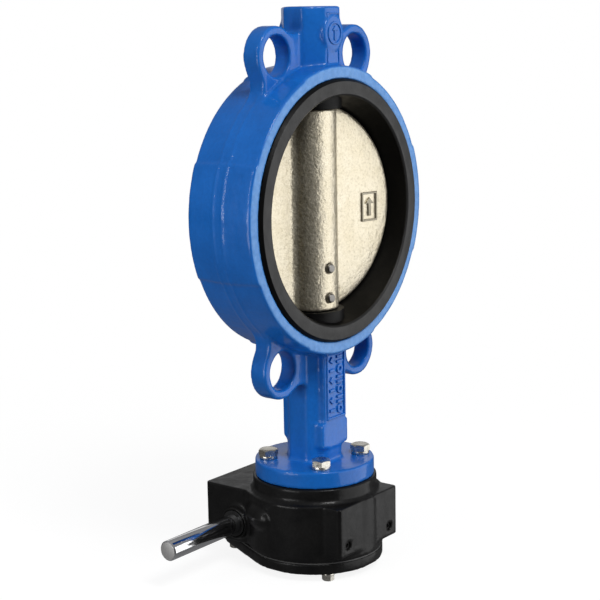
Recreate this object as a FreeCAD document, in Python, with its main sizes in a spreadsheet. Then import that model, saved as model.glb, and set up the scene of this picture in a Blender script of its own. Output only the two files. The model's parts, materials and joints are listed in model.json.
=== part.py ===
"""Wafer butterfly valve, DN150, with a worm gear operator, standing on its gearbox.

Frame: millimetres, +Z up.  The origin is the centre of the bore, where the pipe axis (Y)
crosses the stem axis (Z).  The gearbox hangs below the body and its input shaft points to -X.
Parts that turn with the stem are drawn with the valve shut and placed at the resting opening.
"""
import FreeCAD, Part
import math
import os
import Sketcher
from FreeCAD import Placement, Rotation, Vector

os.makedirs("parts", exist_ok=True)
doc = FreeCAD.newDocument("butterfly_valve")

# ------------------------------------------------------------------ driving dimensions
SIZES = {
    # body casting
    "face_half": 28.0,
    "bore_radius": 88.0,
    "recess_radius": 95.2,
    "recess_depth": 3.5,
    "rim_radius": 103.3,
    "rim_draft": 0.9,
    "rim_step": 1.2,
    "step_sector": 46.0,
    "rim_edge": 1.0,
    "ear_across": 46.4,
    "ear_along": 112.0,
    "ear_radius": 21.0,
    "ear_hole": 14.5,
    "ear_thick": 14.4,
    "ear_shift": 1.4,
    "ear_lean": 26.0,
    "ear_waist": 95.0,
    "web_top": 126.5,
    "boss_flats": 40.5,
    "boss_top": 146.0,
    "boss_shift": 2.2,
    "pad_radius": 12.0,
    "pad_height": 127.0,
    "pad_front": 23.8,
    "pad_back": 18.8,
    "neck_root": 4.0,
    "neck_flats": 39.4,
    "upper_pad_half": 13.3,
    "lower_pad_half": 15.6,
    "neck_pad_front": 20.6,
    "neck_pad_back": 19.7,
    "neck_pad_split": 158.0,
    "neck_pad_end": 177.0,
    "back_pad_end": 175.5,
    "front_pad_corner": 1.5,
    "back_pad_corner": 4.0,
    "flange_radius": 45.0,
    "flange_top": 187.6,
    "flange_face": 200.4,
    "flange_pitch": 24.75,
    "bolt_hole": 4.5,
    "hole_overshoot": 1.0,
    # stem and its bearings
    "stem_radius": 9.5,
    "stem_up": 134.0,
    "stem_down": 258.0,
    "bush_radius": 12.5,
    "bush_start": 94.0,
    "boss_bush_end": 132.0,
    "inner_bush_end": 124.0,
    "outer_bush_start": 146.0,
    "outer_bush_end": 197.0,
    "upper_seal_level": 129.5,
    "lower_seal_level": 136.0,
    "seal_gap": 0.04,
    "boss_blind": 136.5,
    "key_side": 6.0,
    "key_half_length": 15.0,
    "keyway_depth": 3.5,
    "fit_gap": 0.05,
    "move_gap": 0.3,
    # liner
    "lip_radius": 95.1,
    "lip_face_radius": 93.2,
    "lip_face": 30.4,
    "lip_shoulder": 0.2,
    "mouth_radius": 83.1,
    "mouth_edge": 1.2,
    "seat_radius": 78.0,
    "seat_boss": 23.7,
    "seat_flat_depth": 10.5,
    # disc
    "disc_radius": 77.7,
    "disc_half": 3.8,
    "rim_round": 2.5,
    "hub_radius": 19.7,
    "hub_blend": 7.0,
    "hub_flat": 73.4,
    "rest_opening": 10.6,
    "pin_radius": 3.4,
    "pin_upper": 42.0,
    "pin_lower": 64.0,
    "pin_out": 22.2,
    # gearbox
    "collar_radius": 46.8,
    "collar_foot": 1.6,
    "case_top": 211.8,
    "case_bottom": 255.0,
    "drum_radius": 51.2,
    "cavity_radius": 41.0,
    "cavity_top": 222.0,
    "worm_across": 45.0,
    "worm_level": 238.0,
    "block_half": 38.3,
    "block_back": 77.0,
    "block_root": 37.0,
    "block_corner": 2.0,
    "block_angle": 29.0,
    "stop_front": 50.4,
    "stop_half": 37.0,
    "stop_bottom": 249.5,
    "stop_hole": 26.3,
    "stop_screw": 3.0,
    "stop_level": 241.5,
    "stop_corner": 2.0,
    "stop_socket": 3.0,
    "shaft_boss": 12.4,
    "shaft_boss_end": 44.5,
    "fairing_height": 10.5,
    "fairing_depth": 9.0,
    "fairing_length": 17.0,
    "fairing_sink": 4.0,
    "fairing_angle": 23.0,
    "fairing_level": 227.0,
    "shaft_bush": 10.0,
    "tunnel_radius": 14.6,
    "tunnel_half": 25.0,
    "cover_radius": 51.0,
    "cover_bottom": 264.0,
    "gasket_thick": 0.8,
    "cover_screw_pitch": 45.8,
    "cover_screw_angle": 48.0,
    "cover_taper": 24.0,
    "cover_end_across": 16.0,
    "cover_end_along": 67.0,
    "cover_end_radius": 8.0,
    "cover_tap_depth": 10.0,
    "journal_radius": 17.0,
    "journal_rise": 4.0,
    # gearing
    "module": 2.0,
    "wheel_teeth": 33.0,
    "pressure_angle": 20.0,
    "worm_lead": 6.283185,
    "worm_half": 22.0,
    "worm_pin": 18.5,
    "worm_pin_radius": 2.0,
    "worm_pin_wall": 0.9,
    "backlash": 0.5,
    "wheel_half": 6.0,
    "sector_half": 63.3,
    "wheel_hub": 18.0,
    "wheel_hub_half": 16.5,
    "worm_turns": 5.0,
    # input shaft
    "shaft_radius": 7.5,
    "shaft_journal": 7.0,
    "shaft_shoulder": 45.0,
    "shaft_end": 117.6,
    "shaft_inner": 31.5,
    "wheel_spot": 2.5,
    "wheel_spot_place": 16.0,
    "shaft_bush_end": 36.0,
    "shaft_seal_end": 44.0,
    "inner_bearing_end": 32.0,
    "thrust_radius": 13.0,
    "plug_inset": 0.7,
    "plug_hex": 10.0,
    "plug_socket": 3.0,
    # hex fasteners
    "flange_bolt": 4.0,
    "flange_shank": 30.0,
    "flange_tap_depth": 18.6,
    "flange_hex": 13.0,
    "flange_head": 4.8,
    "spring_washer": 2.5,
    "spring_radius": 6.8,
    "spring_split": 1.2,
    "cover_screw": 2.5,
    "cover_shank": 18.5,
    "cover_hex": 8.0,
    "cover_head": 4.0,
    "cover_washer": 1.6,
    "cover_washer_radius": 4.8,
    # pointer under the case
    "indicator_radius": 21.0,
    "indicator_thick": 2.0,
    "indicator_arrow": 8.0,
    "indicator_reach": 30.0,
    "indicator_pitch": 13.4,
    "indicator_screw": 2.0,
    "indicator_shank": 8.0,
    "indicator_head": 3.5,
    "indicator_head_height": 1.6,
}

dims = doc.addObject("Spreadsheet::Sheet", "dims")
for row, (word, size) in enumerate(SIZES.items(), start=1):
    dims.set(f"A{row}", word)
    dims.set(f"B{row}", str(size))
    dims.setAlias(f"B{row}", word)
doc.recompute()


# ------------------------------------------------------------------ helpers
def value(rule):
    """Number that a sheet expression gives now."""
    return float(dims.evalExpression(str(rule)))


def new_body(name):
    body = doc.addObject("PartDesign::Body", name)
    body.Label = name
    return body


def sketch_on(body, name, role, offset="0"):
    """Sketch on one of the body's own origin planes, moved along its normal."""
    sketch = body.newObject("Sketcher::SketchObject", name)
    plane = next(item for item in body.Origin.OriginFeatures if item.Role == role)
    sketch.AttachmentSupport = [(plane, "")]
    sketch.MapMode = "FlatFace"
    sketch.setExpression("AttachmentOffset.Base.z", offset)
    return sketch


def fix(sketch, kind, places, rule):
    """Dimension that follows the sheet, or a point held on an axis when it is zero."""
    size = value(rule)
    if kind in ("DistanceX", "DistanceY") and abs(size) < 1e-9:
        axis = -2 if kind == "DistanceX" else -1
        sketch.addConstraint(Sketcher.Constraint("PointOnObject", *places, axis))
        return
    if kind in ("DistanceX", "DistanceY"):
        places = (-1, 1) + tuple(places)
    index = sketch.addConstraint(Sketcher.Constraint(kind, *places, size))
    sketch.setExpression(f"Constraints[{index}]", str(rule))


def add_circle(sketch, radius, across="0", along="0"):
    centre = Vector(value(across), value(along), 0)
    edge = sketch.addGeometry(Part.Circle(centre, Vector(0, 0, 1), value(radius)))
    fix(sketch, "Radius", (edge,), radius)
    fix(sketch, "DistanceX", (edge, 3), across)
    fix(sketch, "DistanceY", (edge, 3), along)


def add_outline(sketch, corners):
    """Closed outline of straight edges through corners given as pairs of rules."""
    points = [Vector(value(across), value(along), 0) for across, along in corners]
    edges = []
    for index, point in enumerate(points):
        following = points[(index + 1) % len(points)]
        edges.append(sketch.addGeometry(Part.LineSegment(point, following)))
    for index, edge in enumerate(edges):
        following = edges[(index + 1) % len(edges)]
        sketch.addConstraint(Sketcher.Constraint("Coincident", edge, 2, following, 1))
        fix(sketch, "DistanceX", (edge, 1), corners[index][0])
        fix(sketch, "DistanceY", (edge, 1), corners[index][1])


def add_box_outline(sketch, low_across, high_across, low_along, high_along):
    add_outline(sketch, [
        (low_across, low_along),
        (high_across, low_along),
        (high_across, high_along),
        (low_across, high_along),
    ])


def add_octagon(sketch, flats, shift="0"):
    """Octagon with flats square to both axes, its centre moved forward by shift."""
    reach = f"{flats} / 2 / cos(22.5)"
    angles = [22.5 + 45 * step for step in range(8)]
    add_outline(sketch, [(f"{reach} * cos({a})", f"{reach} * sin({a}) - {shift}") for a in angles])


def mirrored_outline(sketch, right):
    """Closed outline whose left half mirrors the right one."""
    left = [(f"-({across})", along) for across, along in reversed(right)]
    add_outline(sketch, right + left)


def feature(body, kind, name, sketch, rules, **settings):
    """PartDesign feature made from a sketch, with its numbers bound to the sheet."""
    item = body.newObject(f"PartDesign::{kind}", name)
    item.Profile = sketch
    for key, setting in settings.items():
        setattr(item, key, setting)
    for key, rule in rules.items():
        item.setExpression(key, str(rule))
    sketch.Visibility = False
    return item


def pad(body, name, sketch, length, **settings):
    return feature(body, "Pad", name, sketch, {"Length": length}, **settings)


def turn(body, name, sketch, kind="Revolution", axis="V_Axis", **settings):
    return feature(body, kind, name, sketch, {}, ReferenceAxis=(sketch, [axis]), **settings)


def pocket(body, name, sketch, length, **settings):
    """Pocket that must take material away."""
    doc.recompute()
    before = body.Shape.Volume
    item = feature(body, "Pocket", name, sketch, {"Length": length}, **settings)
    doc.recompute()
    if body.Shape.Volume > before - 1.0:
        raise RuntimeError(f"{name} cuts nothing")
    return item


def both(body, name, pad_or_pocket, role, shape, radius_or_corners, length):
    """Same sketch taken equally to both sides of an origin plane."""
    sketch = sketch_on(body, f"{name}_sketch", role)
    shape(sketch, *radius_or_corners)
    return pad_or_pocket(body, name, sketch, length, SideType="Symmetric")


def cylinder(name, radius, height, base=("0", "0", "0"), turned=None):
    """Part cylinder along Z, or along the direction that turned gives."""
    item = doc.addObject("Part::Cylinder", name)
    item.setExpression("Radius", str(radius))
    item.setExpression("Height", str(height))
    if turned:
        item.Placement.Rotation = Rotation(Vector(0, 0, 1), turned)
    place(item, base)
    return item


def place(item, base):
    for letter, rule in zip("xyz", base):
        item.setExpression(f"Placement.Base.{letter}", str(rule))


def box(name, lengths, base):
    item = doc.addObject("Part::Box", name)
    for key, rule in zip(("Length", "Width", "Height"), lengths):
        item.setExpression(key, str(rule))
    place(item, base)
    return item


def hexagon(name, flats, height, base, turned=None, spin=0.0):
    item = doc.addObject("Part::Prism", name)
    item.Polygon = 6
    item.setExpression("Circumradius", f"{flats} / 2 / cos(30)")
    item.setExpression("Height", str(height))
    item.Placement.Rotation = Rotation(Vector(0, 0, 1), spin)
    if turned:
        item.Placement.Rotation = Rotation(Vector(0, 0, 1), turned).multiply(item.Placement.Rotation)
    place(item, base)
    return item


def torus(name, ring, section, base):
    item = doc.addObject("Part::Torus", name)
    item.setExpression("Radius1", str(ring))
    item.setExpression("Radius2", str(section))
    place(item, base)
    return item


def fuse(name, items):
    item = doc.addObject("Part::MultiFuse", name)
    item.Shapes = items
    return item


def cut(name, base, tool):
    item = doc.addObject("Part::Cut", name)
    item.Base = base
    item.Tool = tool
    return item


def common(name, base, tool):
    item = doc.addObject("Part::Common", name)
    item.Base = base
    item.Tool = tool
    return item


def group(name, items):
    """Several loose pieces of one kind in one node."""
    item = doc.addObject("Part::Compound", name)
    item.Links = items
    return item


def ring(name, inner, outer, low, high):
    """Plain ring about Z between two heights."""
    height = f"({high}) - ({low})"
    solid = cylinder(f"{name}_outside", outer, height, ("0", "0", low))
    hole = cylinder(f"{name}_inside", inner, height, ("0", "0", low))
    return cut(name, solid, hole)


def cross_ring(name, inner, outer, low, high):
    """Plain ring about the worm axis between two places along X."""
    length = f"({high}) - ({low})"
    base = (low, "dims.worm_across", "-dims.worm_level")
    along_x = Vector(1, 0, 0)
    solid = cylinder(f"{name}_outside", outer, length, base, along_x)
    hole = cylinder(f"{name}_inside", inner, length, base, along_x)
    return cut(name, solid, hole)


shut_to_rest = Placement(Vector(), Rotation(Vector(0, 0, 1), -dims.rest_opening))
QUARTERS = ((1, 1), (-1, 1), (-1, -1), (1, -1))
FOUR_CORNERS = [(f"{side_x} * ", f"{side_z} * ") for side_x, side_z in QUARTERS]
FRONT_SCREW = ("dims.cover_screw_pitch * cos(dims.cover_screw_angle)",
               "-dims.cover_screw_pitch * sin(dims.cover_screw_angle)")
COVER_SCREWS = [
    ("-" + FRONT_SCREW[0], FRONT_SCREW[1]),
    FRONT_SCREW,
    ("dims.cover_end_across", "dims.cover_end_along"),
    ("-dims.cover_end_across", "dims.cover_end_along"),
]


# ------------------------------------------------------------------ body casting
def make_valve_body():
    """One iron casting: ring, four ears, blind boss, neck and top flange."""
    body = new_body("valve_body")

    sketch = sketch_on(body, "ring_sketch", "XY_Plane")
    add_outline(sketch, [
        ("0", "-dims.face_half"),
        ("dims.rim_radius - dims.rim_edge", "-dims.face_half"),
        ("dims.rim_radius", "dims.rim_edge - dims.face_half"),
        ("dims.rim_radius + dims.rim_draft", "0"),
        ("dims.rim_radius", "dims.face_half - dims.rim_edge"),
        ("dims.rim_radius - dims.rim_edge", "dims.face_half"),
        ("0", "dims.face_half"),
    ])
    turn(body, "ring", sketch)

    sketch = sketch_on(body, "rim_step_sketch", "XY_Plane")
    step = "dims.rim_radius + dims.rim_step"
    add_outline(sketch, [
        ("dims.bore_radius + 10", "-dims.face_half"),
        (f"{step} - dims.rim_edge", "-dims.face_half"),
        (step, "dims.rim_edge - dims.face_half"),
        (f"{step} + dims.rim_draft", "0"),
        (step, "dims.face_half - dims.rim_edge"),
        (f"{step} - dims.rim_edge", "dims.face_half"),
        ("dims.bore_radius + 10", "dims.face_half"),
    ])
    sector = turn(body, "rim_step", sketch, Angle=dims.step_sector, Midplane=True)
    doc.recompute()
    pattern = body.newObject("PartDesign::PolarPattern", "rim_steps")
    pattern.Originals = [sector]
    axis = next(item for item in body.Origin.OriginFeatures if item.Role == "Y_Axis")
    pattern.Axis = (axis, [""])
    pattern.Angle = 360
    pattern.Occurrences = 4
    body.Tip = pattern

    for number, (side_x, side_z) in enumerate(FOUR_CORNERS):
        sketch = sketch_on(body, f"ear_{number}_sketch", "XZ_Plane", "dims.ear_shift")
        add_circle(sketch, "dims.ear_radius", side_x + "dims.ear_across",
                   side_z + "dims.ear_along")
        pad(body, f"ear_{number}", sketch, "dims.ear_thick", SideType="Symmetric")

    lean_x = "dims.ear_across + dims.ear_radius * cos(dims.ear_lean)"
    lean_z = "dims.ear_along - dims.ear_radius * sin(dims.ear_lean)"
    waist = f"({lean_x}) - (({lean_z}) - dims.ear_waist) * tan(dims.ear_lean)"
    flare = ((-0.4, 3), (-0.3, 6), (0.7, 9.5), (3.2, 13), (7.2, 17.5), (12.4, 23), (3, 27))
    for word, side_z in (("top", "1 * "), ("bottom", "-1 * ")):
        sketch = sketch_on(body, f"{word}_web_sketch", "XZ_Plane", "dims.ear_shift")
        right = [(f"{waist} + {out}", f"dims.ear_waist - {down}") for out, down in reversed(flare)]
        right += [
            (waist, "dims.ear_waist"),
            (lean_x, lean_z),
            ("dims.ear_across", "dims.ear_along + dims.ear_radius - 6"),
            ("dims.ear_across - 0.6 * dims.ear_radius", "dims.ear_along + 0.8 * dims.ear_radius"),
            ("dims.boss_flats / 2 + 6", "dims.web_top"),
            ("dims.boss_flats / 2 - 2", "dims.web_top + 2"),
        ]
        mirrored_outline(sketch, [(across, f"{side_z}({along})") for across, along in right])
        pad(body, f"{word}_web", sketch, "dims.ear_thick", SideType="Symmetric")

    sketch = sketch_on(body, "boss_sketch", "XY_Plane", "dims.bore_radius - dims.neck_root")
    add_octagon(sketch, "dims.boss_flats", "dims.boss_shift")
    pad(body, "boss", sketch, "dims.boss_top - dims.bore_radius + dims.neck_root")
    for word, reach, flip in (("front", "dims.pad_front", False), ("back", "dims.pad_back", True)):
        sketch = sketch_on(body, f"boss_{word}_pad_sketch", "XZ_Plane")
        add_circle(sketch, "dims.pad_radius", "0", "dims.pad_height")
        pad(body, f"boss_{word}_pad", sketch, reach, Reversed=flip)

    sketch = sketch_on(body, "neck_sketch", "XY_Plane", "dims.neck_root - dims.bore_radius")
    add_octagon(sketch, "dims.neck_flats")
    pad(body, "neck", sketch, "dims.flange_top - dims.bore_radius + 6", Reversed=True)
    sides = (("front", "dims.lower_pad_half", "dims.neck_pad_end", False),
             ("back", "dims.upper_pad_half", "dims.back_pad_end", True))
    for word, half, low, flip in sides:
        corner = f"dims.{word}_pad_corner"
        sketch = sketch_on(body, f"{word}_neck_pad_sketch", "XZ_Plane")
        right = [
            ("dims.upper_pad_half", "dims.neck_root - dims.bore_radius"),
            ("dims.upper_pad_half", "-dims.neck_pad_split"),
            (half, "-dims.neck_pad_split"),
            (half, f"{corner} - {low}"),
            (f"{half} - {corner}", f"-{low}"),
        ]
        if half == "dims.upper_pad_half":
            right = right[:1] + right[3:]
        mirrored_outline(sketch, right)
        pad(body, f"{word}_neck_pad", sketch, f"dims.neck_pad_{word}", Reversed=flip)

    sketch = sketch_on(body, "flange_sketch", "XY_Plane", "-dims.flange_top")
    add_circle(sketch, "dims.flange_radius")
    pad(body, "flange", sketch, "dims.flange_face - dims.flange_top", Reversed=True)

    sketch = sketch_on(body, "bore_sketch", "XY_Plane")
    add_outline(sketch, [
        ("0", "-dims.face_half - dims.hole_overshoot"),
        ("dims.recess_radius", "-dims.face_half - dims.hole_overshoot"),
        ("dims.recess_radius", "dims.recess_depth - dims.face_half"),
        ("dims.bore_radius", "dims.recess_depth - dims.face_half"),
        ("dims.bore_radius", "dims.face_half - dims.recess_depth"),
        ("dims.recess_radius", "dims.face_half - dims.recess_depth"),
        ("dims.recess_radius", "dims.face_half + dims.hole_overshoot"),
        ("0", "dims.face_half + dims.hole_overshoot"),
    ])
    turn(body, "bore", sketch, "Groove")

    sketch = sketch_on(body, "boss_hole_sketch", "XY_Plane", "dims.boss_blind")
    add_circle(sketch, "dims.bush_radius + dims.fit_gap")
    pocket(body, "boss_hole", sketch, "dims.boss_blind - 60")
    sketch = sketch_on(body, "neck_hole_sketch", "XY_Plane", "-60")
    add_circle(sketch, "dims.bush_radius + dims.fit_gap")
    pocket(body, "neck_hole", sketch, "dims.flange_face - 50")

    for number, (side_x, side_z) in enumerate(FOUR_CORNERS):
        both(body, f"ear_hole_{number}", pocket, "XZ_Plane", add_circle,
             ("dims.ear_hole", side_x + "dims.ear_across", side_z + "dims.ear_along"),
             "2 * dims.ear_thick")
    sketch = sketch_on(body, "flange_holes_sketch", "XY_Plane", "4 - dims.flange_top")
    for side_x, side_y in FOUR_CORNERS:
        add_circle(sketch, "dims.bolt_hole", side_x + "dims.flange_pitch",
                   side_y + "dims.flange_pitch")
    pocket(body, "flange_holes", sketch, "dims.flange_face - dims.flange_top + 8")
    return body


# ------------------------------------------------------------------ liner, disc and stem
def make_seat_liner():
    """Rubber liner: a channel section round the ring, with flats round the stem."""
    body = new_body("seat_liner")
    sketch = sketch_on(body, "liner_sketch", "XY_Plane")
    half = [
        ("dims.bore_radius - dims.fit_gap", "0"),
        ("dims.bore_radius - dims.fit_gap", "dims.face_half - dims.recess_depth + dims.fit_gap"),
        ("dims.lip_radius", "dims.face_half - dims.recess_depth + dims.fit_gap"),
        ("dims.lip_radius", "dims.face_half + dims.lip_shoulder"),
        ("dims.lip_face_radius", "dims.lip_face"),
        ("dims.mouth_radius + dims.mouth_edge", "dims.lip_face"),
        ("dims.mouth_radius", "dims.lip_face - 1"),
        ("dims.mouth_radius - 0.7", "dims.lip_face - 6"),
        ("dims.seat_radius + 2.4", "dims.lip_face - 14"),
        ("dims.seat_radius + 0.6", "dims.lip_face - 20"),
        ("dims.seat_radius", "5"),
    ]
    mirrored = [(across, f"-({along})") for across, along in reversed(half[1:])]
    add_outline(sketch, half + mirrored)
    turn(body, "liner", sketch)
    for word, level, flip in (("upper", "dims.hub_flat + dims.move_gap", False),
                              ("lower", "-dims.hub_flat - dims.move_gap", True)):
        sketch = sketch_on(body, f"{word}_flat_sketch", "XY_Plane", level)
        add_circle(sketch, "dims.seat_boss")
        pad(body, f"{word}_flat", sketch, "dims.seat_flat_depth", Reversed=flip)
    sketch = sketch_on(body, "stem_hole_sketch", "XY_Plane")
    add_circle(sketch, "dims.stem_radius + dims.fit_gap")
    pocket(body, "stem_hole", sketch, "2 * dims.bore_radius + 20", SideType="Symmetric")
    return body


def make_disc_envelope():
    """Solid about Y that gives the disc its round edge and rounded rim corners."""
    body = new_body("disc_envelope")
    sketch = sketch_on(body, "envelope_sketch", "XY_Plane")
    corner = "(dims.disc_radius - dims.rim_round)"
    level = "(dims.disc_half - dims.rim_round)"
    half = [("dims.disc_radius", "0")]
    half += [(f"{corner} + dims.rim_round * cos({angle})", f"{level} + dims.rim_round * sin({angle})")
             for angle in (0, 15, 30, 45, 60, 75, 90)]
    half += [(corner, "dims.hub_radius + 1"), ("0", "dims.hub_radius + 1")]
    mirrored = [(across, f"-({along})") for across, along in reversed(half[1:])]
    add_outline(sketch, half + mirrored)
    turn(body, "envelope", sketch)
    return body


def make_disc():
    """Cast disc: flat wings blended into a round hub, turned to a sphere at the edge."""
    wings = box("disc_wings", ("2 * dims.disc_radius + 2", "2 * dims.disc_half", "2 * dims.disc_radius"),
                ("-dims.disc_radius - 1", "-dims.disc_half", "-dims.disc_radius"))
    hub = cylinder("disc_hub", "dims.hub_radius", "2 * dims.disc_radius",
                   ("0", "0", "-dims.disc_radius"))
    plain = fuse("disc_plain", [wings, hub])
    doc.recompute()

    def is_root(edge):
        """Straight edge where a wing meets the hub."""
        start, end = (vertex.Point for vertex in edge.Vertexes)
        upright = abs(start.z - end.z) > dims.disc_radius
        near_hub = math.hypot(start.x, start.y) < dims.hub_radius + 1
        on_wing = abs(abs(start.y) - dims.disc_half) < 0.01
        return upright and near_hub and on_wing

    roots = [n for n, edge in enumerate(plain.Shape.Edges, start=1)
             if len(edge.Vertexes) == 2 and is_root(edge)]
    blended = doc.addObject("Part::Fillet", "disc_blended")
    blended.Base = plain
    blended.Edges = [(n, dims.hub_blend, dims.hub_blend) for n in roots]
    turned = common("disc_turned", blended, make_disc_envelope())
    span = "2 * dims.disc_radius"
    trim = box("disc_trim", (span, span, "2 * dims.hub_flat"),
               ("-dims.disc_radius", "-dims.disc_radius", "-dims.hub_flat"))
    trimmed = common("disc_trimmed", turned, trim)
    holes = [cylinder("disc_stem_hole", "dims.stem_radius + dims.fit_gap", span,
                      ("0", "0", "-dims.disc_radius"))]
    for word in ("upper", "lower"):
        holes.append(cylinder(f"disc_{word}_pin_hole", "dims.pin_radius + dims.fit_gap",
                              "60", ("0", "30", f"-dims.pin_{word}"), Vector(0, -1, 0)))
    disc = cut("disc", trimmed, fuse("disc_holes", holes))
    disc.Placement = shut_to_rest
    return disc


def make_disc_pins():
    pins = []
    for word in ("upper", "lower"):
        shank = cylinder(f"{word}_pin_shank", "dims.pin_radius", "2 * dims.pin_out - 1",
                         ("0", "dims.pin_out", f"-dims.pin_{word}"), Vector(0, -1, 0))
        tip = doc.addObject("Part::Cone", f"{word}_pin_tip")
        tip.setExpression("Radius1", "dims.pin_radius")
        tip.setExpression("Radius2", "dims.pin_radius - 0.7")
        tip.Height = 1.0
        tip.Placement.Rotation = Rotation(Vector(0, 0, 1), Vector(0, -1, 0))
        place(tip, ("0", "1 - dims.pin_out", f"-dims.pin_{word}"))
        pins.append(fuse(f"{word}_pin", [shank, tip]))
    pins = group("disc_pins", pins)
    pins.Placement = shut_to_rest
    return pins


def make_stem():
    """One-piece stem from the blind boss, through the disc, to the wheel."""
    body = new_body("stem")
    sketch = sketch_on(body, "stem_sketch", "XZ_Plane")
    add_outline(sketch, [
        ("0", "-dims.stem_down"),
        ("dims.stem_radius - 1", "-dims.stem_down"),
        ("dims.stem_radius", "1 - dims.stem_down"),
        ("dims.stem_radius", "dims.stem_up - 1"),
        ("dims.stem_radius - 1", "dims.stem_up"),
        ("0", "dims.stem_up"),
    ])
    turn(body, "shank", sketch)
    for word in ("upper", "lower"):
        both(body, f"{word}_pin_hole", pocket, "XZ_Plane", add_circle,
             ("dims.pin_radius + dims.fit_gap", "0", f"-dims.pin_{word}"), "40")
    sketch = sketch_on(body, "keyway_sketch", "XZ_Plane", "dims.stem_radius")
    add_box_outline(sketch, "-dims.key_side / 2", "dims.key_side / 2",
                    "-dims.worm_level - dims.key_half_length",
                    "dims.key_half_length - dims.worm_level")
    pocket(body, "keyway", sketch, "dims.keyway_depth")
    body.Placement = shut_to_rest
    return body


def make_stem_key():
    """Square key between the stem and the wheel's hub."""
    body = new_body("stem_key")
    top = "-dims.worm_level + dims.key_half_length - dims.fit_gap"
    sketch = sketch_on(body, "key_sketch", "XY_Plane", top)
    half = "(dims.key_side / 2 - dims.fit_gap)"
    inner = "(dims.stem_radius - dims.keyway_depth + dims.fit_gap)"
    add_box_outline(sketch, f"-{half}", half, f"-{inner} - dims.key_side", f"-{inner}")
    pad(body, "key", sketch, "2 * (dims.key_half_length - dims.fit_gap)", Reversed=True)
    body.Placement = shut_to_rest
    return body


def make_stem_bushes():
    inner = "dims.stem_radius + dims.fit_gap"
    ring("boss_bush", inner, "dims.bush_radius", "dims.bush_start", "dims.boss_bush_end")
    ring("neck_bush_inner", inner, "dims.bush_radius", "-dims.inner_bush_end", "-dims.bush_start")
    ring("neck_bush_outer", inner, "dims.bush_radius", "-dims.outer_bush_end",
         "-dims.outer_bush_start")
    seals = []
    for word in ("upper", "lower"):
        seals.append(torus(f"{word}_stem_seal", "(dims.bush_radius + dims.stem_radius) / 2",
                           "(dims.bush_radius - dims.stem_radius) / 2 - dims.seal_gap",
                           ("0", "0", f"-dims.{word}_seal_level")))
    group("stem_seals", seals)


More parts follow.
